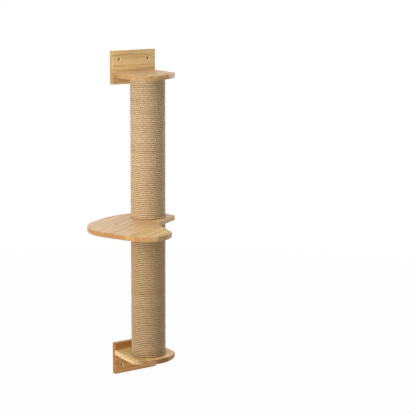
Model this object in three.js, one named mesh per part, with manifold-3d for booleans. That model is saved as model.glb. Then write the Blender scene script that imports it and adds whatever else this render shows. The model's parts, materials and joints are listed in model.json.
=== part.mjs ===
// Wall mounted cat tree: two rope-wound posts stand one above the other, a bracket at each end
// fastens them to the wall, and a leaf-shaped shelf is clamped between them on a stud.
// Millimetres, +Z up, +X along the wall, and the front faces -Y. The wall is the plane y = 0.
// The origin is the middle of the upper wall plate's back face.

import * as THREE from 'three';
import { mergeVertices } from 'three/addons/utils/BufferGeometryUtils.js';
import Module from 'manifold-3d';

const wasm = await Module();
wasm.setup();

// Clearances
const contactGap = 0.3; // between the faces of pieces that touch
const shankGap = 0.3; // round a bolt, stud, screw or dowel in its hole
const cutOverrun = 1; // how far a cutting shape runs past the face that it opens

// Boards of pine: wall plates, end shelves and the middle shelf
const plateWidth = 150;
const plateHeight = 100;
const plateThickness = 15;
const shelfThickness = 15;
const shelfSetback = 62.5; // from the plate's free end to the end shelf's outer face
const shelfSideLength = 110; // straight sides of the end shelf, from the plate's front
const shelfFrontRise = 38; // how far the front arc bows out past the straight sides
const middleShelfThickness = 15;
const boardEase = 1.5; // sanding of the boards' edges

// Middle shelf, seen from above, from the post's axis: corners in order and how each is rounded
const hubMargin = 16.5; // wood left behind the rope
const tipMargin = 24.5; // wood left beside the rope, to the corner of the tip
const notchMargin = 39.5; // wood left in front of the rope, to the corner of the notch
const tipCorner = { y: -32, radius: 7 };
const notchCorner = { x: -31, radius: 54 };
const lobeRightCorner = { x: -57, y: -225, radius: 24 };
const lobeFrontCorner = { x: -147, y: -290, radius: 74 };
const lobeLeftCorner = { x: -270, y: -27, radius: 114 };
const backCorner = { x: -93, radius: 246 };
const hubCorner = { x: 50, radius: 60 };

// Posts: a wound cardboard tube with a plug in each end, under a winding of sisal rope
const postReach = 92; // from the wall to the posts' axis
const postLength = 415; // between the faces of the boards
const tubeDiameter = 93;
const tubeWall = 5;
const plugThickness = 18;
const ropeDiameter = 6;

// Winding: each loop is a flat band that stands for about three turns of the real rope
const windingLoops = 24;
const windingSteps = 18; // steps in a loop
const windingGap = 0.8; // between neighbouring loops
const windingShoulder = 1.6; // how much lower a band's edges lie than its crown

// Bolt through each end shelf, with its washer in a counterbore
const boltDiameter = 8;
const boltHeadDiameter = 13;
const boltHeadHeight = 5;
const boltSocketWidth = 5; // across the flats of the hexagon
const boltSocketDepth = 3;
const washerDiameter = 16;
const washerThickness = 1.6;
const counterboreDepth = 8;
const threadEngagement = 12; // length of bolt or stud inside an insert
const insertWall = 2.2;
const insertLength = 16;
const chamfer = 0.6; // on turned metal pieces

// Wood screws and dowels that hold each end shelf to its plate
const screwSpacing = 60;
const screwDiameter = 4;
const screwHeadDiameter = 8;
const screwLength = 45;
const screwPointLength = 6;
const screwSinking = 0.5; // how far the head lies below the plate's back
const screwSlotWidth = 1.2;
const screwSlotDepth = 1;
const dowelSpacing = 112;
const dowelDiameter = 8;
const dowelLength = 30;
const dowelInPlate = 10;

// Holes for the wall screws
const wallHoleSpacing = 100;
const wallHoleEndDistance = 26; // from the plate's free end
const wallHoleDiameter = 5;
const wallHoleCountersink = 11;

// Roundness of turned pieces and of rounded outlines
const tubeSides = 36;
const hardwareSides = 20;
const outlineSegments = 6; // steps in each half of a rounded corner

// Levels of the assembly, down from the origin
const topShelfFace = plateHeight / 2 - shelfSetback;
const upperPostTop = topShelfFace - shelfThickness;
const middleShelfFace = upperPostTop - postLength;
const lowerPostTop = middleShelfFace - middleShelfThickness;
const bottomShelfFace = lowerPostTop - postLength - shelfThickness;
const lowerPlateCentre = bottomShelfFace - shelfSetback + plateHeight / 2;

const ropeRadius = tubeDiameter / 2 + ropeDiameter;
const boltHoleRadius = boltDiameter / 2 + shankGap;
const insertRadius = boltHoleRadius + insertWall;

// Geometry helpers

function closed(geometry) {
  const bare = geometry.clone();
  bare.deleteAttribute('normal');
  bare.deleteAttribute('uv');
  const merged = mergeVertices(bare, 1e-4);
  const corners = merged.index.array;
  const kept = [];
  for (let i = 0; i < corners.length; i += 3) {
    const [a, b, c] = corners.slice(i, i + 3);
    if (a !== b && b !== c && c !== a) kept.push(a, b, c);
  }
  merged.setIndex(kept);
  return merged;
}

function toSolid(geometry) {
  const merged = closed(geometry);
  const vertProperties = merged.attributes.position.array;
  const triVerts = new Uint32Array(merged.index.array);
  return new wasm.Manifold(new wasm.Mesh({ numProp: 3, vertProperties, triVerts }));
}

function toGeometry(solid) {
  const { vertProperties, triVerts } = solid.getMesh();
  const geometry = new THREE.BufferGeometry();
  geometry.setAttribute('position', new THREE.BufferAttribute(vertProperties, 3));
  geometry.setIndex(new THREE.BufferAttribute(triVerts, 1));
  return geometry;
}

function cutAway(geometry, cutters) {
  let solid = toSolid(geometry);
  for (const cutter of cutters) solid = solid.subtract(toSolid(cutter));
  return toGeometry(solid);
}

// A turned piece about Z. The profile holds [radius, z] pairs and runs upwards on its outside.
function turned(profile, sides) {
  const points = profile.map(([radius, z]) => new THREE.Vector2(radius, z));
  return closed(new THREE.LatheGeometry(points, sides).rotateX(Math.PI / 2));
}

function rod(radius, bottom, top, sides = hardwareSides) {
  return turned([[0, bottom], [radius, bottom], [radius, top], [0, top]], sides);
}

function ring(innerRadius, outerRadius, bottom, top, sides) {
  const profile = [
    [innerRadius, bottom],
    [outerRadius, bottom],
    [outerRadius, top],
    [innerRadius, top],
    [innerRadius, bottom],
  ];
  return turned(profile, sides);
}

function block(x, y, z, width, depth, height) {
  return new THREE.BoxGeometry(width, depth, height).translate(x, y, z);
}

// A board from z = 0 up to its thickness, with its edges eased.
function board(outline, thickness) {
  return new THREE.ExtrudeGeometry(outline, {
    depth: thickness - 2 * boardEase,
    bevelThickness: boardEase,
    bevelSize: boardEase,
    bevelOffset: -boardEase,
    bevelSegments: 1,
    curveSegments: outlineSegments,
  }).translate(0, 0, boardEase);
}

// A closed outline through corners in order, each rounded to its own radius.
function roundedOutline(corners) {
  const outline = new THREE.Shape();
  corners.forEach((corner, i) => {
    const here = new THREE.Vector2(corner.x, corner.y);
    const before = corners[(i + corners.length - 1) % corners.length];
    const after = corners[(i + 1) % corners.length];
    const toBefore = new THREE.Vector2(before.x, before.y).sub(here).normalize();
    const toAfter = new THREE.Vector2(after.x, after.y).sub(here).normalize();
    const half = Math.acos(toBefore.dot(toAfter)) / 2;
    const turnsRight = toBefore.cross(toAfter) > 0;
    const centre = toBefore.clone().add(toAfter).setLength(corner.radius / Math.sin(half)).add(here);
    const reach = corner.radius / Math.tan(half);
    const start = toBefore.setLength(reach).add(here).sub(centre).angle();
    const end = toAfter.setLength(reach).add(here).sub(centre).angle();
    outline.absarc(centre.x, centre.y, corner.radius, start, end, turnsRight);
  });
  outline.closePath();
  return outline;
}

// Materials

const finishes = {
  pine: { color: 0xd2a876, roughness: 0.6, metalness: 0 },
  sisal: { color: 0xb89468, roughness: 0.95, metalness: 0 },
  kraftBoard: { color: 0x9a7b55, roughness: 0.9, metalness: 0 },
  plugBoard: { color: 0xa88a63, roughness: 0.85, metalness: 0 },
  beech: { color: 0xc9a271, roughness: 0.7, metalness: 0 },
  zincSteel: { color: 0xb7b9bc, roughness: 0.35, metalness: 1 },
  blackSteel: { color: 0x3a3937, roughness: 0.45, metalness: 1 },
};

function piece(name, geometry, finish) {
  const material = new THREE.MeshStandardMaterial(finishes[finish]);
  const flat = geometry.index ? geometry.toNonIndexed() : geometry;
  flat.computeVertexNormals();
  const mesh = new THREE.Mesh(flat, material);
  mesh.name = name;
  return mesh;
}

// Brackets. Each is built as the upper one: the plate's free end is up and its back centre at 0,0,0.

// Turns a cutter or piece made along +Z so that it runs from the wall to the front, along -Y.
function facingFront(geometry, x, z) {
  return geometry.rotateX(Math.PI / 2).translate(x, 0, z);
}

function eitherSide(spacing) {
  return [-spacing / 2, spacing / 2];
}

const shelfMiddle = topShelfFace - shelfThickness / 2;

function wallHoleCutter(x) {
  const z = plateHeight / 2 - wallHoleEndDistance;
  const straight = wallHoleDiameter / 2;
  const mouth = wallHoleCountersink / 2;
  const coneStart = plateThickness - (mouth - straight);
  const profile = [
    [0, -cutOverrun],
    [straight, -cutOverrun],
    [straight, coneStart],
    [mouth + cutOverrun, plateThickness + cutOverrun],
    [0, plateThickness + cutOverrun],
  ];
  return facingFront(turned(profile, hardwareSides), x, z);
}

function screwProfile(gap) {
  const head = screwHeadDiameter / 2 + gap;
  const shank = screwDiameter / 2 + gap;
  const neck = screwSinking + (screwHeadDiameter - screwDiameter) / 2;
  const pointStart = screwSinking + screwLength - screwPointLength;
  return { head, shank, neck, pointStart, end: screwSinking + screwLength + gap };
}

function screwHoleCutter(x) {
  const { head, shank, neck, end } = screwProfile(shankGap);
  const profile = [
    [0, -cutOverrun],
    [head, -cutOverrun],
    [head, screwSinking],
    [shank, neck],
    [shank, end],
    [0, end],
  ];
  return facingFront(turned(profile, hardwareSides), x, shelfMiddle);
}

function bracketScrew(x) {
  const { head, shank, neck, pointStart, end } = screwProfile(0);
  const profile = [
    [0, screwSinking],
    [head, screwSinking],
    [shank, neck],
    [shank, pointStart],
    [0, end],
  ];
  const slots = [
    block(0, 0, screwSinking, screwDiameter, screwSlotWidth, 2 * screwSlotDepth),
    block(0, 0, screwSinking, screwSlotWidth, screwDiameter, 2 * screwSlotDepth),
  ];
  return facingFront(cutAway(turned(profile, hardwareSides), slots), x, shelfMiddle);
}

function dowelSpan(gap) {
  const start = plateThickness - dowelInPlate;
  return [dowelDiameter / 2 + gap, start - gap, start + dowelLength + gap];
}

function dowel(x, gap) {
  return facingFront(rod(...dowelSpan(gap)), x, shelfMiddle);
}

function wallPlate() {
  const corners = [
    [-plateWidth / 2, -plateHeight / 2],
    [plateWidth / 2, -plateHeight / 2],
    [plateWidth / 2, plateHeight / 2],
    [-plateWidth / 2, plateHeight / 2],
  ];
  const outline = new THREE.Shape(corners.map(([x, z]) => new THREE.Vector2(x, z)));
  const plate = facingFront(board(outline, plateThickness), 0, 0);
  const cutters = [
    ...eitherSide(wallHoleSpacing).map(wallHoleCutter),
    ...eitherSide(screwSpacing).map(screwHoleCutter),
    ...eitherSide(dowelSpacing).map((x) => dowel(x, shankGap)),
  ];
  return cutAway(plate, cutters);
}

function endShelf() {
  const halfWidth = plateWidth / 2;
  const rear = -plateThickness - contactGap;
  const sideEnd = -plateThickness - shelfSideLength;
  const radius = (halfWidth ** 2 + shelfFrontRise ** 2) / (2 * shelfFrontRise);
  const centre = sideEnd - shelfFrontRise + radius;
  const swing = Math.asin(halfWidth / radius);
  const spare = 2 * boardEase;

  const outline = new THREE.Shape();
  outline.moveTo(-halfWidth, rear + spare);
  outline.lineTo(-halfWidth, sideEnd);
  outline.absarc(0, centre, radius, -Math.PI / 2 - swing, -Math.PI / 2 + swing, false);
  outline.lineTo(halfWidth, rear + spare);
  outline.closePath();

  const blank = board(outline, shelfThickness).translate(0, 0, topShelfFace - shelfThickness);
  const seat = topShelfFace - counterboreDepth;
  const bore = rod(boltHoleRadius, upperPostTop - cutOverrun, topShelfFace);
  const counterbore = rod(washerDiameter / 2 + shankGap, seat, topShelfFace + cutOverrun);
  const cutters = [
    block(0, rear + plateWidth / 2, shelfMiddle, 2 * plateWidth, plateWidth, 2 * shelfThickness),
    bore.translate(0, -postReach, 0),
    counterbore.translate(0, -postReach, 0),
    ...eitherSide(screwSpacing).map(screwHoleCutter),
    ...eitherSide(dowelSpacing).map((x) => dowel(x, shankGap)),
  ];
  return cutAway(blank, cutters);
}

const washerBottom = topShelfFace - counterboreDepth + contactGap;
const headBottom = washerBottom + washerThickness + contactGap;

function postWasher() {
  const flatRing = ring(boltHoleRadius, washerDiameter / 2, 0, washerThickness, hardwareSides);
  return flatRing.translate(0, -postReach, washerBottom);
}

function postBolt() {
  const shank = boltDiameter / 2;
  const head = boltHeadDiameter / 2;
  const top = headBottom + boltHeadHeight;
  const end = upperPostTop - threadEngagement;
  const profile = [
    [0, end],
    [shank - chamfer, end],
    [shank, end + chamfer],
    [shank, headBottom],
    [head, headBottom],
    [head, top - chamfer],
    [head - chamfer, top],
    [0, top],
  ];
  const socketRadius = boltSocketWidth / Math.sqrt(3);
  const socket = rod(socketRadius, top - boltSocketDepth, top + cutOverrun, 6);
  return cutAway(turned(profile, hardwareSides), [socket]).translate(0, -postReach, 0);
}

function bracket(prefix) {
  const group = new THREE.Group();
  group.add(piece(`${prefix}_wall_plate`, wallPlate(), 'pine'));
  group.add(piece(`${prefix}_shelf`, endShelf(), 'pine'));
  group.add(piece(`${prefix}_post_bolt`, postBolt(), 'blackSteel'));
  group.add(piece(`${prefix}_post_washer`, postWasher(), 'zincSteel'));
  eitherSide(screwSpacing).forEach((x, i) => {
    group.add(piece(`${prefix}_bracket_screw_${i + 1}`, bracketScrew(x), 'zincSteel'));
  });
  eitherSide(dowelSpacing).forEach((x, i) => {
    group.add(piece(`${prefix}_bracket_dowel_${i + 1}`, dowel(x, 0), 'beech'));
  });
  return group;
}

// Posts, each from z = 0 up to its length

// Depth below the post's top of a loop's lower edge, after so many turns. The band starts and
// ends one rope wide, so that the winding is level with the post's ends.
function lowerEdge(turn, height) {
  const endDrop = ropeDiameter + windingGap;
  const pitch = (height - ropeDiameter - endDrop) / (windingLoops - 1);
  const full = Math.min(turn, windingLoops - 1);
  return ropeDiameter + pitch * full + endDrop * (turn - full);
}

function upperEdge(turn, height) {
  if (turn < 1) return turn * (ropeDiameter + windingGap);
  return lowerEdge(turn - 1, height) + windingGap;
}

// The five corners of the band's section after so many turns, carried straight on by "beyond".
function windingSection(turn, height, beyond) {
  const inner = (tubeDiameter / 2 + contactGap) / Math.cos(Math.PI / windingSteps);
  const shoulder = ropeRadius - windingShoulder;
  const top = height - upperEdge(turn, height);
  const bottom = height - lowerEdge(turn, height);
  const angle = turn * 2 * Math.PI;
  const outward = new THREE.Vector3(Math.cos(angle), Math.sin(angle), 0);
  const along = new THREE.Vector3(-Math.sin(angle), Math.cos(angle), 0);
  const corners = [
    [inner, bottom],
    [shoulder, bottom],
    [ropeRadius, (top + bottom) / 2],
    [shoulder, top],
    [inner, top],
  ];
  return corners.map(([radius, z]) => new THREE.Vector3(0, 0, z)
    .addScaledVector(outward, radius)
    .addScaledVector(along, beyond));
}

function windingSections(height) {
  const count = windingLoops * windingSteps;
  const sections = [windingSection(0, height, -ropeDiameter)];
  for (let step = 0; step <= count; step += 1) {
    sections.push(windingSection(step / windingSteps, height, 0));
  }
  sections.push(windingSection(windingLoops, height, ropeDiameter));
  return sections;
}

function ropeWinding(height) {
  const sections = windingSections(height);
  const sides = sections[0].length;
  const triangles = [];
  for (let i = 0; i + 1 < sections.length; i += 1) {
    for (let j = 0; j < sides; j += 1) {
      const here = i * sides + j;
      const beside = i * sides + ((j + 1) % sides);
      triangles.push(here, beside + sides, beside, here, here + sides, beside + sides);
    }
  }
  const last = (sections.length - 1) * sides;
  for (let j = 1; j + 1 < sides; j += 1) {
    triangles.push(0, j, j + 1, last, last + j + 1, last + j);
  }
  const geometry = new THREE.BufferGeometry().setFromPoints(sections.flat());
  geometry.setIndex(triangles);
  return geometry;
}

// The least distance from a loop's upper corners to the lower edge of the loop above it.
function leastWindingGap(height) {
  const sections = windingSections(height);
  const nearest = new THREE.Vector3();
  let least = Infinity;
  for (let i = 0; i + windingSteps + 1 < sections.length; i += 1) {
    const below = sections[i + windingSteps];
    for (const [upperCorner, lowerCorner] of [[4, 0], [3, 1]]) {
      const edge = new THREE.Line3(sections[i][lowerCorner], sections[i + 1][lowerCorner]);
      edge.closestPointToPoint(below[upperCorner], true, nearest);
      least = Math.min(least, nearest.distanceTo(below[upperCorner]));
    }
  }
  return least;
}

function insert(bottom) {
  const inside = boltHoleRadius;
  const top = bottom + insertLength;
  const profile = [
    [inside, bottom],
    [insertRadius - chamfer, bottom],
    [insertRadius, bottom + chamfer],
    [insertRadius, top - chamfer],
    [insertRadius - chamfer, top],
    [inside, top],
    [inside, bottom],
  ];
  return turned(profile, hardwareSides);
}

function post(prefix) {
  const group = new THREE.Group();
  const bottom = contactGap;
  const top = postLength - contactGap;
  const boreRadius = tubeDiameter / 2 - tubeWall;
  const plugRadius = boreRadius - contactGap;
  const holeRadius = insertRadius + contactGap;
  const topPlug = top - plugThickness;
  const tube = ring(boreRadius, tubeDiameter / 2, bottom, top, tubeSides);
  const lowPlug = ring(holeRadius, plugRadius, bottom, bottom + plugThickness, tubeSides);
  const highPlug = ring(holeRadius, plugRadius, topPlug, top, tubeSides);
  const winding = ropeWinding(top - bottom).translate(0, 0, bottom);
  group.add(piece(`${prefix}_tube`, tube, 'kraftBoard'));
  group.add(piece(`${prefix}_bottom_plug`, lowPlug, 'plugBoard'));
  group.add(piece(`${prefix}_top_plug`, highPlug, 'plugBoard'));
  group.add(piece(`${prefix}_bottom_insert`, insert(bottom), 'zincSteel'));
  group.add(piece(`${prefix}_top_insert`, insert(top - insertLength), 'zincSteel'));
  group.add(piece(`${prefix}_rope`, winding, 'sisal'));
  return group;
}

// Middle shelf and the stud that joins the posts through it

function middleShelf() {
  const backEdge = ropeRadius + hubMargin;
  const outline = roundedOutline([
    { ...tipCorner, x: ropeRadius + tipMargin },
    { ...hubCorner, y: backEdge },
    { ...backCorner, y: backEdge },
    lobeLeftCorner,
    lobeFrontCorner,
    lobeRightCorner,
    { ...notchCorner, y: -ropeRadius - notchMargin },
  ]);
  const hole = rod(boltHoleRadius, -cutOverrun, middleShelfThickness + cutOverrun);
  return cutAway(board(outline, middleShelfThickness), [hole]);
}

function joiningStud() {
  const radius = boltDiameter / 2;
  const half = middleShelfThickness / 2 + threadEngagement;
  const profile = [
    [0, -half],
    [radius - chamfer, -half],
    [radius, -half + chamfer],
    [radius, half - chamfer],
    [radius - chamfer, half],
    [0, half],
  ];
  return turned(profile, hardwareSides).translate(0, 0, middleShelfThickness / 2);
}

// Assembly

const catTree = new THREE.Group();

catTree.add(bracket('upper'));

const lowerBracket = bracket('lower');
lowerBracket.rotation.y = Math.PI;
lowerBracket.position.z = lowerPlateCentre;
catTree.add(lowerBracket);

const upperPost = post('upper_post');
upperPost.position.set(0, -postReach, middleShelfFace);
catTree.add(upperPost);

const lowerPost = post('lower_post');
lowerPost.position.set(0, -postReach, bottomShelfFace + shelfThickness);
catTree.add(lowerPost);

const middle = new THREE.Group();
middle.position.set(0, -postReach, lowerPostTop);
middle.add(piece('middle_shelf', middleShelf(), 'pine'));
middle.add(piece('middle_stud', joiningStud(), 'zincSteel'));
catTree.add(middle);

const windingHeight = postLength - 2 * contactGap;
console.log(`least gap of a rope winding to itself: ${leastWindingGap(windingHeight).toFixed(2)} mm`);

export default catTree;
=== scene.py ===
import json
import math

import bmesh
import bpy
import numpy as np
from mathutils import Matrix, Vector


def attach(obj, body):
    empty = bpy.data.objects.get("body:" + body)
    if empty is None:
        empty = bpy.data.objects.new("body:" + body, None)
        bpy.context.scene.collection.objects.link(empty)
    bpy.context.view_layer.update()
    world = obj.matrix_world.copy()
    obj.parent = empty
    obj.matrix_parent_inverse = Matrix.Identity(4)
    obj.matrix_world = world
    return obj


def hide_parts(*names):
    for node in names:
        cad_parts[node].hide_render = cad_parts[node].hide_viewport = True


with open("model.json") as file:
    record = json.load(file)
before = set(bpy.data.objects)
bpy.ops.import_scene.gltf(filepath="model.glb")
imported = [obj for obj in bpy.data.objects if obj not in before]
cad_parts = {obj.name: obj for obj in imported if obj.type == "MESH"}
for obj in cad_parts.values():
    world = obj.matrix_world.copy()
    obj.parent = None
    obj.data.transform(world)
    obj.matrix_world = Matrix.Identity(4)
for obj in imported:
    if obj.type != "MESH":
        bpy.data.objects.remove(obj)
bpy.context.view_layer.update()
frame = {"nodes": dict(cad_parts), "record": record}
print("frame loaded")

# Metres, +Z up, the wall at y = 0 and the front towards -Y.


# small helpers

def srgb(red, green, blue):
    # a colour as it looks on screen, 0 to 255, as the linear value that shaders take
    channels = [c / 255 for c in (red, green, blue)]
    linear = [c / 12.92 if c <= 0.04045 else ((c + 0.055) / 1.055) ** 2.4 for c in channels]
    return (*linear, 1.0)


def direction(azimuth, elevation):
    # from the object towards a lamp, in degrees: azimuth 0 is straight in front, positive to the right
    around, up = math.radians(azimuth), math.radians(elevation)
    return Vector((math.sin(around) * math.cos(up), -math.cos(around) * math.cos(up), math.sin(up)))


def addObject(name, data):
    made = bpy.data.objects.new(name, data)
    bpy.context.scene.collection.objects.link(made)
    return made


def addNode(tree, kind, inputs=None, **settings):
    # an input is another node's output, which is linked, or a plain value
    made = tree.nodes.new(kind)
    for key, value in settings.items():
        setattr(made, key, value)
    for key, value in (inputs or {}).items():
        if isinstance(value, bpy.types.NodeSocket):
            tree.links.new(value, made.inputs[key])
        else:
            made.inputs[key].default_value = value
    return made


def maths(tree, operation, first, second=0.0, third=0.0):
    made = addNode(tree, "ShaderNodeMath", {0: first, 1: second, 2: third}, operation=operation)
    return made.outputs[0]


def plus(tree, first, second):
    return maths(tree, "ADD", first, second)


def times(tree, first, second):
    return maths(tree, "MULTIPLY", first, second)


def vectorMaths(tree, operation, first, second):
    made = addNode(tree, "ShaderNodeVectorMath", {0: first, 1: second}, operation=operation)
    return made.outputs[0]


def blendColours(tree, factor, first, second, blend="MIX"):
    inputs = {0: factor, 6: first, 7: second}
    return addNode(tree, "ShaderNodeMix", inputs, data_type="RGBA", blend_type=blend).outputs[2]


def fitRange(tree, value, fromLow, fromHigh, toLow=0.0, toHigh=1.0, smooth=False):
    inputs = {0: value, 1: fromLow, 2: fromHigh, 3: toLow, 4: toHigh}
    kind = "SMOOTHSTEP" if smooth else "LINEAR"
    return addNode(tree, "ShaderNodeMapRange", inputs, interpolation_type=kind).outputs[0]


def noise(tree, vector, stretch, detail, roughness, scale=1.0):
    stretched = vectorMaths(tree, "MULTIPLY", vector, stretch)
    inputs = {"Vector": stretched, "Scale": scale, "Detail": detail, "Roughness": roughness}
    return addNode(tree, "ShaderNodeTexNoise", inputs).outputs["Fac"]


def newGroup(name, inputs, outputs):
    group = bpy.data.node_groups.new(name, "ShaderNodeTree")
    for label, kind, value in inputs:
        socket = group.interface.new_socket(name=label, in_out="INPUT", socket_type=kind)
        if value is not None:
            socket.default_value = value
    for label, kind in outputs:
        group.interface.new_socket(name=label, in_out="OUTPUT", socket_type=kind)
    return group, group.nodes.new("NodeGroupInput").outputs, group.nodes.new("NodeGroupOutput").inputs


def newMaterial(name):
    material = bpy.data.materials.new(name)
    material.use_nodes = True
    tree = material.node_tree
    return material, tree, tree.nodes["Principled BSDF"]


def finishShader(tree, shader, colour, roughness, height, strength, distance):
    bump = addNode(tree, "ShaderNodeBump", {"Height": height, "Strength": strength, "Distance": distance})
    tree.links.new(colour, shader.inputs["Base Color"])
    tree.links.new(roughness, shader.inputs["Roughness"])
    tree.links.new(bump.outputs[0], shader.inputs["Normal"])


mottled = {
    # what most finishes share
    "scale": 1.0,
    "stretch": (1, 1, 1),
    "detail": (4.0, 0.6),
    "colourSpread": (0.35, 0.65),  # the noise's values from all dark to all light
    "roughSpread": (0.3, 0.7),
    "bump": (0.2, 0.0002),
    "metallic": 0.0,
}


def mottledMaterial(name, finish):
    # light and dark soft spots
    material, tree, shader = newMaterial(name)
    look = {**mottled, **finish}
    light, dark = look["colours"]
    place = addNode(tree, "ShaderNodeTexCoord").outputs["Object"]
    spots = noise(tree, place, look["stretch"], *look["detail"], look["scale"])
    colour = blendColours(tree, fitRange(tree, spots, *look["colourSpread"]), dark, light)
    rough = fitRange(tree, spots, *look["roughSpread"], *look["rough"])
    finishShader(tree, shader, colour, rough, spots, *look["bump"])
    shader.inputs["Metallic"].default_value = look["metallic"]
    return material


def setMaterial(piece, material):
    if not piece.data.materials:
        piece.data.materials.append(material)
    for i in range(len(piece.data.materials)):
        piece.data.materials[i] = material


# camera, at the photograph's place

camera = {
    "place": (-1.956, -3.268, 0.335),
    "turn": -31.67,  # degrees, to the right of straight at the wall
    "tilt": -12.12,
    "roll": -0.22,
    "lens": 109.57,
    "shift": (0.1418, 0.038),
}


def makeCamera():
    eye = addObject("camera", bpy.data.cameras.new("camera"))
    turn = Matrix.Rotation(math.radians(camera["turn"]), 4, "Z")
    tilt = Matrix.Rotation(math.radians(90 + camera["tilt"]), 4, "X")
    roll = Matrix.Rotation(math.radians(camera["roll"]), 4, "Z")
    eye.matrix_world = Matrix.Translation(camera["place"]) @ turn @ tilt @ roll
    eye.data.lens = camera["lens"]
    eye.data.shift_x, eye.data.shift_y = camera["shift"]
    bpy.context.scene.camera = eye


makeCamera()
print("camera set")


# wood

grain = {
    # noise cells a metre, along the grain and twice across it, then the noise's detail and roughness
    "band": ((2.6, 48, 48), 2.0, 0.5),
    "streak": ((8, 270, 270), 3.0, 0.65),
    "section": ((1300, 1300, 1300), 2.0, 0.6),  # takes the streaks' place on end grain
    "pore": ((90, 2100, 2100), 1.0, 0.5),
    "drift": ((5, 24, 24), 3.0, 0.5),
    "hue": ((1.6, 22, 22), 2.0, 0.5),
    # each noise's low and high values, and what they become
    "bandShade": (0.36, 0.64, -0.04, 0.5),
    "streakShade": (0.38, 0.64, -0.16, 0.66),
    "poreShade": (0.56, 0.72, 0.0, -0.16),
    "poreHeight": (0.56, 0.72, 0.4, 0.0),
    "hueShare": (0.34, 0.66, -0.35, 0.55),
    "streakRoughness": (0.3, 0.7, 0.4, 0.52),
    "growthInBands": (0.35, 0.65),
    # along one growth line: where it darkens, and where it ends
    "growthRise": (0.35, 0.9),
    "growthFall": (0.92, 1.0, 1, 0),
    # from the palest strip to the warmest: brightness, and how dark its end grain is
    "stripBright": (0, 1, 1.05, 0.93),
    "stripEnd": (0, 1, 0.8, 1.25),
    # end grain: how square on a face has to be, how much shade it keeps, its speckle
    "endFacing": (0.35, 0.9),
    "endShade": (0, 1, 1.0, 0.45),
    "endSpeckle": (0.3, 0.7, 0.55, 0.85),
    "growthLines": 125,  # a metre
    "growthTilt": 0.7,
    "growthWaves": 7,
    "jointWidth": 0.0004,
    "jointSoftness": 0.6,
    "stagger": 0.37,  # of a strip's length, from one row to the next
    "stripJump": (7.3, 0.9, 0.4),  # how far apart in the noise two strips lie
    "endGrowth": 0.3,
    "endRoughness": 0.14,
    "streakHeight": 0.5,
    "bump": (0.25, 0.0003),
    "gloss": 0.45,
}


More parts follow.
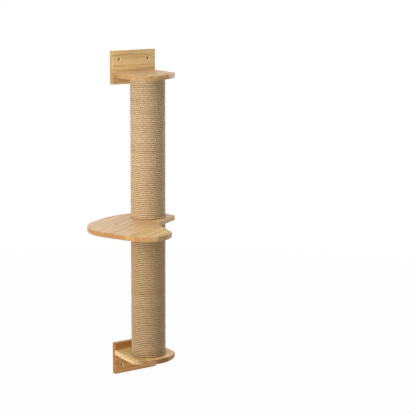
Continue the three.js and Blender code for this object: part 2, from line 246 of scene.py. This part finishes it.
def makeWoodGroup():
    # Solid edge-glued wood. The vector runs along the grain in X, across the board in Y.
    group, given, out = newGroup(
        "gluedWood",
        [
            ("Vector", "NodeSocketVector", None),
            ("End", "NodeSocketFloat", 0.0),
            ("Strip Width", "NodeSocketFloat", 0.03),
            ("Strip Length", "NodeSocketFloat", 0.3),
            ("Strip Contrast", "NodeSocketFloat", 0.5),
            ("Joint", "NodeSocketFloat", 0.3),
            ("Figure", "NodeSocketFloat", 0.3),
            ("Light", "NodeSocketColor", (0.6, 0.4, 0.2, 1)),
            ("Dark", "NodeSocketColor", (0.4, 0.2, 0.1, 1)),
            ("Warm", "NodeSocketColor", (0.6, 0.4, 0.3, 1)),
            ("End Colour", "NodeSocketColor", (0.4, 0.2, 0.1, 1)),
            ("Joint Colour", "NodeSocketColor", (0.3, 0.15, 0.06, 1)),
            ("Tone", "NodeSocketColor", (1, 1, 1, 1)),
        ],
        [
            ("Colour", "NodeSocketColor"),
            ("Roughness", "NodeSocketFloat"),
            ("Height", "NodeSocketFloat"),
        ],
    )
    strips = addNode(group, "ShaderNodeTexBrick", {
        "Vector": given["Vector"],
        "Color1": (0, 0, 0, 1),
        "Color2": (1, 1, 1, 1),
        "Mortar": (0.5, 0.5, 0.5, 1),
        "Scale": 1.0,
        "Mortar Size": grain["jointWidth"],
        "Mortar Smooth": grain["jointSoftness"],
        "Brick Width": given["Strip Length"],
        "Row Height": given["Strip Width"],
    }, offset=grain["stagger"])
    tone = strips.outputs["Color"]
    joint = strips.outputs["Fac"]
    inStrip = vectorMaths(group, "ADD", given["Vector"],
                          vectorMaths(group, "MULTIPLY", tone, grain["stripJump"]))

    # the grain, from wide soft bands down to short open pores
    band = noise(group, inStrip, *grain["band"])
    streak = noise(group, inStrip, *grain["streak"])
    section = noise(group, inStrip, *grain["section"])
    change = maths(group, "SUBTRACT", section, streak)
    streak = maths(group, "MULTIPLY_ADD", change, given["End"], streak)
    pore = noise(group, inStrip, *grain["pore"])
    drift = noise(group, inStrip, *grain["drift"])
    hue = noise(group, inStrip, *grain["hue"])

    # growth lines, unevenly spaced and wavy, each darkening slowly and ending sharply
    parts = addNode(group, "ShaderNodeSeparateXYZ", {0: inStrip}).outputs
    across = plus(group, parts["Y"], times(group, parts["Z"], grain["growthTilt"]))
    waves = plus(group, times(group, across, grain["growthLines"]), times(group, drift, grain["growthWaves"]))
    growth = maths(group, "FRACT", waves)
    growth = times(group, fitRange(group, growth, *grain["growthRise"], smooth=True),
                   fitRange(group, growth, *grain["growthFall"], smooth=True))
    growth = times(group, growth, fitRange(group, band, *grain["growthInBands"]))

    share = plus(group, times(group, tone, given["Strip Contrast"]),
                 fitRange(group, hue, *grain["hueShare"]))
    colour = blendColours(group, share, given["Light"], given["Warm"])
    darkening = times(group, growth, given["Figure"])
    darkening = plus(group, darkening, fitRange(group, streak, *grain["streakShade"]))
    darkening = plus(group, darkening, fitRange(group, band, *grain["bandShade"]))
    kept = fitRange(group, given["End"], *grain["endShade"])
    colour = blendColours(group, times(group, darkening, kept), colour, given["Dark"])
    bright = plus(group, fitRange(group, tone, *grain["stripBright"]),
                  fitRange(group, pore, *grain["poreShade"]))
    scaled = addNode(group, "ShaderNodeVectorMath", {0: colour, "Scale": bright}, operation="SCALE")

    # end grain is darker and speckled
    speckle = plus(group, fitRange(group, streak, *grain["endSpeckle"]),
                   times(group, growth, grain["endGrowth"]))
    speckle = times(group, speckle, fitRange(group, tone, *grain["stripEnd"]))
    colour = blendColours(group, times(group, given["End"], speckle),
                          scaled.outputs[0], given["End Colour"], "MULTIPLY")
    colour = blendColours(group, times(group, joint, given["Joint"]), colour, given["Joint Colour"])
    colour = blendColours(group, 1.0, colour, given["Tone"], "MULTIPLY")
    group.links.new(colour, out["Colour"])

    rough = plus(group, fitRange(group, streak, *grain["streakRoughness"]),
                 times(group, given["End"], grain["endRoughness"]))
    group.links.new(rough, out["Roughness"])
    height = plus(group, times(group, streak, grain["streakHeight"]),
                  fitRange(group, pore, *grain["poreHeight"]))
    group.links.new(maths(group, "SUBTRACT", height, joint), out["Height"])
    return group


woodGroup = makeWoodGroup()
pine = {
    "Light": srgb(228, 197, 140),
    "Dark": srgb(184, 143, 89),
    "Warm": srgb(222, 179, 134),
    "End Colour": srgb(214, 178, 132),
    "Joint Colour": srgb(146, 98, 58),
    "Figure": 0.3,
    "Joint": 0.4,
    "Strip Contrast": 0.55,
}


def woodMaterial(name, turn, shift, **changes):
    material, tree, shader = newMaterial(name)
    place = addNode(tree, "ShaderNodeTexCoord").outputs
    turned = [math.radians(a) for a in turn]
    along = addNode(tree, "ShaderNodeMapping", {
        "Vector": place["Object"],
        "Rotation": turned,
        "Location": shift,
    }).outputs[0]
    facing = addNode(tree, "ShaderNodeMapping", {
        "Vector": place["Normal"],
        "Rotation": turned,
    }, vector_type="VECTOR").outputs[0]
    faceAlong = addNode(tree, "ShaderNodeSeparateXYZ", {0: facing}).outputs["X"]
    end = fitRange(tree, maths(tree, "ABSOLUTE", faceAlong), *grain["endFacing"], smooth=True)
    inputs = {"Vector": along, "End": end, **pine, **changes}
    wood = addNode(tree, "ShaderNodeGroup", inputs, node_tree=woodGroup).outputs
    finishShader(tree, shader, wood["Colour"], wood["Roughness"], wood["Height"], *grain["bump"])
    shader.inputs["Specular IOR Level"].default_value = grain["gloss"]
    return material


# boards

postReach = 0.092  # from the wall to the posts' axis
boltHoleRadius = 0.0043
lowerPlateCentre = -0.900
bracket = {
    "plateWidth": 0.150,
    "plateHeight": 0.100,
    "plateThickness": 0.015,
    "shelfThickness": 0.015,
    "shelfFace": -0.0125,  # the end shelf's outer face, from the plate's centre
    "shelfRear": 0.0153,
    "shelfSide": 0.125,  # where the straight sides end
    "shelfRise": 0.038,
    "shelfSteps": 36,
    "ease": 0.0016,
    "wallHoleX": 0.050,
    "wallHoleZ": 0.024,
    "wallHoleRadius": 0.0025,
    "wallHoleMouth": 0.0055,
    "counterboreRadius": 0.0083,
    "counterboreDepth": 0.008,
    "counterboreEase": 0.0005,
    "screwX": 0.030,
    "screwZ": -0.020,
    # the bracket screws' hole: head, where its cone ends, shank
    "screwHeadRadius": 0.0043,
    "screwHeadDepth": 0.0005,
    "screwConeDepth": 0.0025,
    "screwRadius": 0.0023,
}
overrun = 0.001  # how far a cutter passes the face it cuts
smoothBelow = math.radians(35)  # faces that meet at less are shaded as one
easeAbove = math.radians(25)  # edges sharper than this are eased
touching = 1e-6
intoFront = Matrix.Rotation(math.pi / 2, 4, "X")  # turns +Z to -Y, out of the wall


def roundedOutline(corners, step=math.radians(3)):
    points = []
    for i, (x, y, radius) in enumerate(corners):
        here = Vector((x, y))
        toBefore = (Vector(corners[i - 1][:2]) - here).normalized()
        toAfter = (Vector(corners[(i + 1) % len(corners)][:2]) - here).normalized()
        half = toBefore.angle(toAfter) / 2
        centre = here + (toBefore + toAfter).normalized() * radius / math.sin(half)
        reach = radius / math.tan(half)
        start = here + toBefore * reach - centre
        end = here + toAfter * reach - centre
        first = math.atan2(start.y, start.x)
        swing = (math.atan2(end.y, end.x) - first + math.pi) % math.tau - math.pi
        count = max(3, math.ceil(abs(swing) / step))
        for k in range(count + 1):
            angle = first + swing * k / count
            points.append(centre + radius * Vector((math.cos(angle), math.sin(angle))))
    return points


def shelfOutline():
    # a square rear edge, straight sides and a shallow arc in front
    half, rise = bracket["plateWidth"] / 2, bracket["shelfRise"]
    radius = (half ** 2 + rise ** 2) / (2 * rise)
    centre = -bracket["shelfSide"] - rise + radius
    swing = math.asin(half / radius)
    points = [Vector((half, -bracket["shelfRear"])), Vector((-half, -bracket["shelfRear"]))]
    count = bracket["shelfSteps"]
    for k in range(count + 1):
        angle = -math.pi / 2 - swing + 2 * swing * k / count
        points.append(Vector((radius * math.cos(angle), centre + radius * math.sin(angle))))
    return points


def plateOutline():
    half, rise = bracket["plateWidth"] / 2, bracket["plateHeight"] / 2
    return [Vector((half, -rise)), Vector((half, rise)), Vector((-half, rise)), Vector((-half, -rise))]


def boardMesh(outline, thickness, ease, keptSquare=None):
    shape = bmesh.new()
    area = sum(a.x * b.y - b.x * a.y for a, b in zip(outline, outline[1:] + outline[:1]))
    ordered = outline if area > 0 else outline[::-1]
    low, high = ([shape.verts.new((p.x, p.y, z)) for p in ordered] for z in (0, thickness))
    shape.faces.new(low[::-1])
    shape.faces.new(high)
    for i in range(len(ordered)):
        j = (i + 1) % len(ordered)
        shape.faces.new((low[i], low[j], high[j], high[i]))
    shape.normal_update()
    eased = []
    for edge in shape.edges:
        square = keptSquare and all(keptSquare(v.co) for v in edge.verts)
        if edge.calc_face_angle() > easeAbove and not square:
            eased.append(edge)
    bmesh.ops.bevel(shape, geom=eased, offset=ease, segments=4, profile=0.5, affect="EDGES")
    return shape


def turnedMesh(profile, sides=48):
    # a solid turned about Z, from (radius, z) pairs that run upwards and meet the axis at both ends
    shape = bmesh.new()
    rings = []
    for radius, z in profile:
        if radius == 0:
            rings.append([shape.verts.new((0, 0, z))])
            continue
        angles = [math.tau * k / sides for k in range(sides)]
        rings.append([shape.verts.new((radius * math.cos(a), radius * math.sin(a), z)) for a in angles])
    for below, above in zip(rings, rings[1:]):
        for k in range(sides):
            j = (k + 1) % sides
            corners = [below[k % len(below)], below[j % len(below)]]
            corners += [above[j % len(above)], above[k % len(above)]]
            shape.faces.new(list(dict.fromkeys(corners)))
    return shape


def shadeFaces(mesh):
    mesh.shade_smooth()
    mesh.set_sharp_from_angle(angle=smoothBelow)


def toObject(name, shape, place):
    shape.transform(place)
    bmesh.ops.recalc_face_normals(shape, faces=shape.faces)
    mesh = bpy.data.meshes.new(name)
    shape.to_mesh(mesh)
    shape.free()
    shadeFaces(mesh)
    return addObject(name, mesh)


def makeCutter(profile, place):
    return toObject("cutter", turnedMesh(profile), place)


def cutAway(piece, cutters):
    for cutter in cutters:
        cut = piece.modifiers.new("cut", "BOOLEAN")
        cut.object = cutter
        cut.solver = "EXACT"
    bpy.context.view_layer.update()
    finished = piece.evaluated_get(bpy.context.evaluated_depsgraph_get())
    mesh = bpy.data.meshes.new_from_object(finished)
    piece.modifiers.clear()
    piece.data = mesh
    for cutter in cutters:
        bpy.data.objects.remove(cutter)
    shadeFaces(mesh)
    even = piece.modifiers.new("even", "WEIGHTED_NORMAL")
    even.keep_sharp = True


def plateCutters(place):
    deep = bracket["plateThickness"]
    hole, mouth = bracket["wallHoleRadius"], bracket["wallHoleMouth"]
    head, shank = bracket["screwHeadRadius"], bracket["screwRadius"]
    wallHole = [
        (0, -overrun),
        (hole, -overrun),
        (hole, deep - (mouth - hole)),
        (mouth + overrun, deep + overrun),
        (0, deep + overrun),
    ]
    screwHole = [
        (0, -overrun),
        (head, -overrun),
        (head, bracket["screwHeadDepth"]),
        (shank, bracket["screwConeDepth"]),
        (shank, deep + overrun),
        (0, deep + overrun),
    ]
    made = []
    for side in (-1, 1):
        spot = Vector((side * bracket["wallHoleX"], 0, bracket["wallHoleZ"]))
        made.append(makeCutter(wallHole, place @ Matrix.Translation(spot) @ intoFront))
        spot = Vector((side * bracket["screwX"], 0, bracket["screwZ"]))
        made.append(makeCutter(screwHole, place @ Matrix.Translation(spot) @ intoFront))
    return made


def shelfCutter(place):
    wide, deep, ease = bracket["counterboreRadius"], bracket["counterboreDepth"], bracket["counterboreEase"]
    face = bracket["shelfFace"]
    inside = face - bracket["shelfThickness"] - overrun
    profile = [
        (0, inside),
        (boltHoleRadius, inside),
        (boltHoleRadius, face - deep),
        (wide, face - deep),
        (wide, face - ease),
        (wide + ease + overrun, face + overrun),
        (0, face + overrun),
    ]
    return makeCutter(profile, place @ Matrix.Translation((0, -postReach, 0)))


# bare wood where the tool has been, paler than the oiled faces
cutWood = mottledMaterial("cutWood", {
    "colours": (srgb(218, 200, 158), srgb(188, 162, 116)),
    "stretch": (60, 900, 900),
    "detail": (3.0, 0.5),
    "rough": (0.6, 0.75),
    "bump": (0.3, 0.0003),
})


def showCountersinks(plate):
    # bare wood on the cones of the two wall holes
    plate.data.materials.append(cutWood)
    near = bracket["wallHoleMouth"] + overrun
    for face in plate.data.polygons:
        sloping = 0.3 < abs(face.normal.y) < 0.9
        inFront = face.center.y > -bracket["plateThickness"] - touching
        beside = abs(abs(face.center.x) - bracket["wallHoleX"])
        above = min(abs(abs(face.center.z - z) - bracket["wallHoleZ"]) for z in (0, lowerPlateCentre))
        if sloping and inFront and beside < near and above < near:
            face.material_index = 1


woods = {
    # turn and shift bring the grain to X and a strip's edge to Y = 0
    "upperPlate": {
        "turn": (90, 0, 0),
        "shift": (0.31, 0.0375, 0),
        "Strip Width": 0.088,
        "Strip Length": 1.2,
        "Joint": 0.75,
        "End Colour": srgb(190, 152, 108),
        "Tone": (1.14, 1.2, 1.19, 1),
    },
    "upperShelf": {
        "turn": (0, 0, 0),
        "shift": (1.0, 0.125, 0),
        "Strip Width": 0.040,
        "Strip Length": 0.6,
        "Strip Contrast": 0.9,
        "Joint": 0.2,
        "Tone": (0.9, 0.89, 0.94, 1),
    },
    "lowerPlate": {
        "turn": (90, 0, 0),
        "shift": (0.62, -0.9375, 0),
        "Strip Width": 0.088,
        "Strip Length": 1.2,
        "Joint": 0.75,
        "End Colour": srgb(200, 160, 114),
        # painted shade: this tone makes the lower plate darker and more orange than the upper plate
        "Tone": (0.83, 0.64, 0.44, 1),
    },
    "lowerShelf": {
        "turn": (0, 0, 90),
        "shift": (1.3, 0.4, 0),
        "Strip Width": 0.024,
        "Strip Length": 0.5,
        "Strip Contrast": 0.8,
        "Joint": 0.25,
        "End Colour": srgb(146, 98, 56),
        "Tone": (1.2, 1.27, 1.18, 1),
    },
    "leaf": {
        "turn": (0, 0, -29),
        "shift": (0.1, 0.011, 0),
        "Strip Width": 0.029,
        "Strip Length": 0.24,
        "Strip Contrast": 0.8,
        "Joint": 0.55,
        "Tone": (0.97, 0.99, 0.97, 1),
    },
}


def makeBracket(side, place):
    # built as the upper bracket, about the middle of the plate's back
    shape = boardMesh(plateOutline(), bracket["plateThickness"], bracket["ease"])
    plate = toObject(f"{side}PlateBoard", shape, place @ intoFront)
    cutAway(plate, plateCutters(place))
    setMaterial(plate, woodMaterial(f"{side}PlateWood", **woods[f"{side}Plate"]))
    showCountersinks(plate)

    rear = -bracket["shelfRear"] - touching
    shape = boardMesh(shelfOutline(), bracket["shelfThickness"], bracket["ease"], lambda co: co.y > rear)
    lift = Matrix.Translation((0, 0, bracket["shelfFace"] - bracket["shelfThickness"]))
    shelf = toObject(f"{side}ShelfBoard", shape, place @ lift)
    cutAway(shelf, [shelfCutter(place)])
    setMaterial(shelf, woodMaterial(f"{side}ShelfWood", **woods[f"{side}Shelf"]))
    for board, node in ((plate, f"{side}_wall_plate"), (shelf, f"{side}_shelf")):
        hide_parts(node)
        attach(board, "wall_frame")


makeBracket("upper", Matrix.Identity(4))
upsideDown = Matrix.Rotation(math.pi, 4, "Y")
makeBracket("lower", Matrix.Translation((0, 0, lowerPlateCentre)) @ upsideDown)
print("brackets made")


leaf = {
    # the middle shelf
    "thickness": 0.015,
    "ease": 0.0018,
    "top": -0.4425,
    # corners from the posts' axis, in order, and how each is rounded
    "corners": [
        (0.077, -0.032, 0.007),
        (0.050, 0.069, 0.060),
        (-0.093, 0.069, 0.246),
        (-0.270, -0.027, 0.114),
        (-0.147, -0.290, 0.074),
        (-0.057, -0.225, 0.024),
        (-0.031, -0.092, 0.054),
    ],
}


def makeLeaf():
    thickness = leaf["thickness"]
    shape = boardMesh(roundedOutline(leaf["corners"]), thickness, leaf["ease"])
    place = Matrix.Translation((0, -postReach, leaf["top"] - thickness))
    board = toObject("leafBoard", shape, place)
    bore = [
        (0, -overrun),
        (boltHoleRadius, -overrun),
        (boltHoleRadius, thickness + overrun),
        (0, thickness + overrun),
    ]
    cutAway(board, [makeCutter(bore, place)])
    setMaterial(board, woodMaterial("leafWood", **woods["leaf"]))
    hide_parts("middle_shelf")
    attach(board, "swivel_shelf")


makeLeaf()
print("middle shelf made")


# rope

rope = {
    "tubeRadius": 0.0465,
    "radius": 0.003,
    "turns": 73,
    "crossing": 0.18,  # share of a turn, at the back, where it drops to the next one
    "lay": 0.018,  # along the rope, for one whole twist of its three strands
    "strands": 3,
    "crown": 24,  # degrees to either side of a strand's middle
    "fullness": 1.12,
    "valleyFill": 1.9,  # the strands press together, so the valleys are shallow
    "ringsPerTurn": 148,
    "postLength": 0.415,
    "gap": 0.0003,  # at each end of the post
    "strandHeight": 1.08,  # the section is this much taller along the post
    "press": 0.00003,  # how far a turn presses into the next one
    # unevenness: its size in metres, and how far apart in radians of winding
    "bulge": (0.00022, 1.7),
    "ripple": (0.000077, 2.3),
    "tilt": (0.000352, 19, 23),  # how far apart to the side, then to the front
    "swell": (0.04, 0.9),  # a share of the strands' size
}
posts = {
    # the last turns at the bottom stand off a little, towards an angle about the post
    "upper": {
        "bottom": leaf["top"],
        "flareTurns": 2.2,
        "flareAngle": -60,
        "flareSize": 0.0030,
        "tone": (1.0, 1.0, 1.02, 1),
        "valleyShadeDepth": 0.5,
        "seed": 11,
    },
    "lower": {
        "bottom": leaf["top"] - leaf["thickness"] - rope["postLength"],
        "flareTurns": 1.6,
        "flareAngle": -60,
        "flareSize": 0.0012,
        # painted shade: the lower rope is coloured darker than the upper one, and its valleys' painted shade
        # is deeper
        "tone": (0.85, 0.81, 0.76, 1),
        "valleyShadeDepth": 0.8,
        "seed": 23,
    },
}


def smoothWander(rng, along, step, size):
    # random values every so many radians, joined smoothly
    knots = rng.uniform(-1, 1, int(along[-1] / step) + 4)
    place = along / step
    whole = np.floor(place).astype(int)
    part = place - whole
    ease = part * part * (3 - 2 * part)
    return size * (knots[whole] * (1 - ease) + knots[whole + 1] * ease)


def strandSection():
    # radius and angle of the section's points: two on each strand's crown, one in each valley
    strand = rope["radius"] / (1 + 2 / math.sqrt(3))
    offset = rope["radius"] - strand
    valley = 180 / rope["strands"]
    points = []
    for k in range(rope["strands"]):
        middle = math.tau * k / rope["strands"]
        for degrees, fill in ((-rope["crown"], 1.0), (rope["crown"], 1.0), (valley, rope["valleyFill"])):
            a = math.radians(degrees)
            inside = max(strand ** 2 - (offset * math.sin(a)) ** 2, 0)
            reach = offset * math.cos(a) + math.sqrt(inside)
            points.append((rope["fullness"] * fill * reach, middle + a))
    return np.array(points)


def layOut(mesh, name, sides, near, far, row, rows):
    # a map: across from near to far, from ring to ring, and up once round the rope within each row
    shape = (len(near), sides)
    near, far = (np.broadcast_to(value[:, None], shape) for value in (near, far))
    start = np.broadcast_to(row, len(near))[:, None]
    low = (start + np.arange(sides)[None, :] / sides) / rows
    high = low + 1 / sides / rows
    corners = [(near, low), (near, high), (far, high), (far, low)]
    flat = np.stack([np.stack(pair, -1) for pair in corners], 2).reshape(-1, 2)
    ends = np.zeros((2 * sides, 2))
    mesh.uv_layers.new(name=name).data.foreach_set("uv", np.concatenate([flat, ends]).ravel())


def makeRope(name, post):
    rng = np.random.default_rng(post["seed"])
    radius = rope["radius"]
    height = rope["postLength"] - 2 * rope["gap"]
    pitch = (height - 2 * radius) / (rope["turns"] - 1)
    length = rope["turns"] - rope["crossing"]
    count = int(length * rope["ringsPerTurn"]) + 1
    turn = np.arange(count) / rope["ringsPerTurn"]
    wound = turn * math.tau
    angle = wound + math.pi / 2 + math.pi * rope["crossing"]
    middle = rope["tubeRadius"] + radius
    arc = wound * middle

    # each turn lies level, and crosses to the next one at the back
    part = turn % 1
    crossing = np.clip((part - 1) / rope["crossing"] + 1, 0, 1)
    drop = radius + pitch * (np.floor(turn) + crossing ** 2 * (3 - 2 * crossing))
    size, step = rope["ripple"]
    drop = drop + smoothWander(rng, wound, step, size)
    size, step, otherStep = rope["tilt"]
    drop = drop + smoothWander(rng, wound, step, size) * np.cos(angle)
    drop = drop + smoothWander(rng, wound, otherStep, size) * np.sin(angle)
    size, step = rope["bulge"]
    radial = middle + smoothWander(rng, wound, step, size)
    last = np.clip((turn - (length - post["flareTurns"])) / post["flareTurns"], 0, 1)
    towards = np.cos(angle - math.radians(post["flareAngle"])) * 0.5 + 0.5
    radial = radial + post["flareSize"] * last ** 2 * (0.5 + 0.5 * towards)
    drop = np.clip(drop, radius, height - radius)
    top = post["bottom"] + rope["postLength"] - rope["gap"]

    outward = np.stack([np.cos(angle), np.sin(angle), np.zeros(count)], 1)
    upward = np.array([0.0, 0.0, 1.0])
    centre = outward * radial[:, None]
    centre[:, 1] -= postReach
    centre[:, 2] = top - drop

    section = strandSection()
    twist = -arc / rope["lay"] * math.tau  # the lay leans down to the right
    spin = section[None, :, 1] + twist[:, None]
    size, step = rope["swell"]
    reach = section[None, :, 0] * (1 + smoothWander(rng, wound, step, size))[:, None]
    across = np.minimum(reach * np.cos(spin), radius)
    beside = pitch / 2 + rope["press"]  # neighbouring turns press against each other
    lift = np.clip(reach * np.sin(spin) * rope["strandHeight"], -beside, beside)
    points = centre[:, None, :] + outward[:, None, :] * across[..., None] + upward * lift[..., None]

    sides = len(section)
    first = np.arange(count - 1)[:, None] * sides + np.arange(sides)[None, :]
    second = np.arange(count - 1)[:, None] * sides + (np.arange(sides)[None, :] + 1) % sides
    quads = np.stack([first, second, second + sides, first + sides], 2).reshape(-1, 4)
    caps = [list(range(sides))[::-1], list(range((count - 1) * sides, count * sides))]
    mesh = bpy.data.meshes.new(name)
    mesh.from_pydata(points.reshape(-1, 3).tolist(), [], quads.tolist() + caps)
    share = np.minimum(turn[1:] - np.floor(turn[:-1]), 1)
    layOut(mesh, "alongRope", sides, arc[:-1], arc[1:], 0, 1)
    layOut(mesh, "OFBake", sides, part[:-1], share, np.floor(turn[:-1]), math.ceil(length))
    mesh.shade_smooth()
    piece = addObject(name, mesh)
    shape = bmesh.new()
    shape.from_mesh(mesh)
    bmesh.ops.recalc_face_normals(shape, faces=shape.faces)
    shape.to_mesh(mesh)
    shape.free()
    return piece


sisal = {
    "yarnDark": srgb(206, 172, 124),
    "yarnLight": srgb(232, 208, 168),
    "oldFibre": srgb(190, 152, 106),
    "paleFibre": srgb(250, 234, 202),
    # the valley colour is painted shade, darkening the hollows between strands
    "valley": srgb(132, 96, 60),
    # noise cells a metre along the rope and in all round it, then the noise's detail and roughness
    "yarn": ((90.0, 21.0, 1.0), 3.0, 0.6),
    "fibre": ((260.0, 70.0, 1.0), 2.0, 0.7),
    "bale": ((1.6, 0.6, 1.0), 3.0, 0.5),
    # each noise's low and high values, and what they become
    "yarnShare": (0.3, 0.7),
    "baleShare": (0.35, 0.7, 0, 0.5),
    "fibreShare": (0.58, 0.75, 0, 0.4),
    "yarnRoughness": (0.3, 0.7, 0.52, 0.68),
    "valleyShadeFrom": 0.26,  # where the painted valley shade starts, of a strand's width from its middle, to the valley at 0.5
    "fibreHeight": 0.6,
    "bump": (0.65, 0.0004),
    "gloss": 0.38,
}


def ropeMaterial(name, tone, valleyShadeDepth):
    material, tree, shader = newMaterial(name)
    place = addNode(tree, "ShaderNodeUVMap", uv_map="alongRope").outputs[0]
    aroundRope = addNode(tree, "ShaderNodeSeparateXYZ", {0: place}).outputs["Y"]
    strand = maths(tree, "FRACT", times(tree, aroundRope, float(rope["strands"])))
    offCentre = maths(tree, "ABSOLUTE", maths(tree, "SUBTRACT", strand, 0.5))
    yarn = noise(tree, place, *sisal["yarn"])
    fibre = noise(tree, place, *sisal["fibre"])
    bale = noise(tree, place, *sisal["bale"])
    light = fitRange(tree, yarn, *sisal["yarnShare"])
    colour = blendColours(tree, light, sisal["yarnDark"], sisal["yarnLight"])
    colour = blendColours(tree, fitRange(tree, bale, *sisal["baleShare"]), colour, sisal["oldFibre"])
    colour = blendColours(tree, fitRange(tree, fibre, *sisal["fibreShare"]), colour, sisal["paleFibre"])
    # painted shade: each strand darkens towards the valleys between strands
    valley = fitRange(tree, offCentre, sisal["valleyShadeFrom"], 0.5, 0, valleyShadeDepth, smooth=True)
    colour = blendColours(tree, valley, colour, sisal["valley"])
    colour = blendColours(tree, 1.0, colour, tone, "MULTIPLY")
    rough = fitRange(tree, yarn, *sisal["yarnRoughness"])
    height = plus(tree, yarn, times(tree, fibre, sisal["fibreHeight"]))
    finishShader(tree, shader, colour, rough, height, *sisal["bump"])
    shader.inputs["Specular IOR Level"].default_value = sisal["gloss"]
    return material


def makeRopes():
    for name, post in posts.items():
        piece = makeRope(f"{name}Rope", post)
        setMaterial(piece, ropeMaterial(f"{name}Sisal", post["tone"], post["valleyShadeDepth"]))
        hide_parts(f"{name}_post_rope")
        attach(piece, "wall_frame")
        print(piece.name, len(piece.data.polygons) * 2, "triangles")


makeRopes()
print("ropes wound")


# hardware and what the posts hold inside

finishes = {
    # colours: light, then dark
    "kraft_board": {
        "name": "kraftBoard",
        "colours": (srgb(178, 142, 98), srgb(150, 116, 76)),
        "scale": 90,
        "stretch": (1, 1, 0.2),
        "rough": (0.8, 0.95),
    },
    "plug_board": {
        "name": "plugBoard",
        "colours": (srgb(186, 152, 106), srgb(150, 118, 78)),
        "scale": 900,
        "rough": (0.8, 0.95),
    },
    "beech": {
        "name": "beechDowel",
        "colours": (srgb(220, 184, 134), srgb(196, 156, 106)),
        "scale": 300,
        "stretch": (1, 0.1, 1),
        "rough": (0.5, 0.7),
    },
    "zinc_steel": {
        "name": "zincSteel",
        "colours": (srgb(206, 208, 210), srgb(170, 173, 178)),
        "scale": 500,
        "metallic": 1.0,
        "rough": (0.25, 0.42),
    },
    "black_steel": {
        "name": "blackSteel",
        "colours": (srgb(70, 68, 66), srgb(38, 37, 36)),
        "scale": 700,
        "metallic": 0.9,
        "rough": (0.32, 0.5),
    },
}
replaced = {
    "upper_wall_plate",
    "upper_shelf",
    "lower_wall_plate",
    "lower_shelf",
    "middle_shelf",
    "upper_post_rope",
    "lower_post_rope",
}


def finishHardware():
    materials = {slot: mottledMaterial(finish["name"], finish) for slot, finish in finishes.items()}
    for part in frame["record"]["subparts"]:
        if part["node"] not in replaced:
            setMaterial(frame["nodes"][part["node"]], materials[part["material_slot"]])


finishHardware()
print("hardware finished")


# floor, background and light

studio = {
    "floor": -1.35,
    "floorHalf": 14,
    "paper": (0.86, 0.86, 0.86, 1),
    "paperRoughness": 0.9,
    "paperWhite": (0.93, 1.0),  # how white the floor looks, near the object and far from it
    "paperFade": (0.8, 4.0),  # where near ends and far begins
    "world": 0.23,
    "lamps": {
        # azimuth, elevation, distance, size, watts
        "key": (-72, 9, 2.0, 1.1, 32),
        "side": (96, 10, 2.4, 1.3, 21),
        "top": (-20, 78, 2.6, 1.8, 34),
        "under": (-20, -30, 2.6, 1.5, 4),
        "back": (172, 18, 2.6, 1.8, 13),
    },
    "aim": (0, -0.09, -0.35),
}


def seenDirectly(tree):
    path = addNode(tree, "ShaderNodeLightPath").outputs
    seen = maths(tree, "MAXIMUM", path["Is Camera Ray"], path["Is Glossy Ray"])
    return maths(tree, "MAXIMUM", seen, path["Is Transmission Ray"])


def makeWorld():
    world = bpy.data.worlds.new("studio")
    bpy.context.scene.world = world
    world.use_nodes = True
    tree = world.node_tree
    background = tree.nodes["Background"]
    background.inputs["Color"].default_value = (1, 1, 1, 1)
    strength = fitRange(tree, seenDirectly(tree), 0, 1, studio["world"], 1.0)
    tree.links.new(strength, background.inputs["Strength"])


def makeFloor():
    half = studio["floorHalf"]
    mesh = bpy.data.meshes.new("floor")
    corners = [(-half, -half, 0), (half, -half, 0), (half, half, 0), (-half, half, 0)]
    mesh.from_pydata(corners, [], [(0, 1, 2, 3)])
    floor = addObject("floor", mesh)
    floor.location.z = studio["floor"]
    material, tree, shader = newMaterial("palePaper")
    shader.inputs["Base Color"].default_value = studio["paper"]
    shader.inputs["Roughness"].default_value = studio["paperRoughness"]
    shader.inputs["Specular IOR Level"].default_value = 0.0
    white = addNode(tree, "ShaderNodeEmission", {"Color": (1, 1, 1, 1), "Strength": 1.0})
    place = addNode(tree, "ShaderNodeTexCoord").outputs["Object"]
    away = addNode(tree, "ShaderNodeVectorMath", {0: place}, operation="LENGTH").outputs["Value"]
    fade = fitRange(tree, away, *studio["paperFade"], *studio["paperWhite"], smooth=True)
    share = times(tree, seenDirectly(tree), fade)
    mix = addNode(tree, "ShaderNodeMixShader", {0: share, 1: shader.outputs[0], 2: white.outputs[0]})
    tree.links.new(mix.outputs[0], tree.nodes["Material Output"].inputs["Surface"])
    mesh.materials.append(material)


def makeLamps():
    aim = Vector(studio["aim"])
    for name, (azimuth, elevation, distance, size, watts) in studio["lamps"].items():
        lamp = addObject(name, bpy.data.lights.new(name, "AREA"))
        lamp.data.shape = "DISK"
        lamp.data.size = size
        lamp.data.energy = watts
        towards = direction(azimuth, elevation)
        lamp.location = aim + towards * distance
        lamp.rotation_euler = towards.to_track_quat("Z", "Y").to_euler()


makeWorld()
makeFloor()
makeLamps()
bpy.context.scene.view_settings.view_transform = "Standard"
print("studio set")
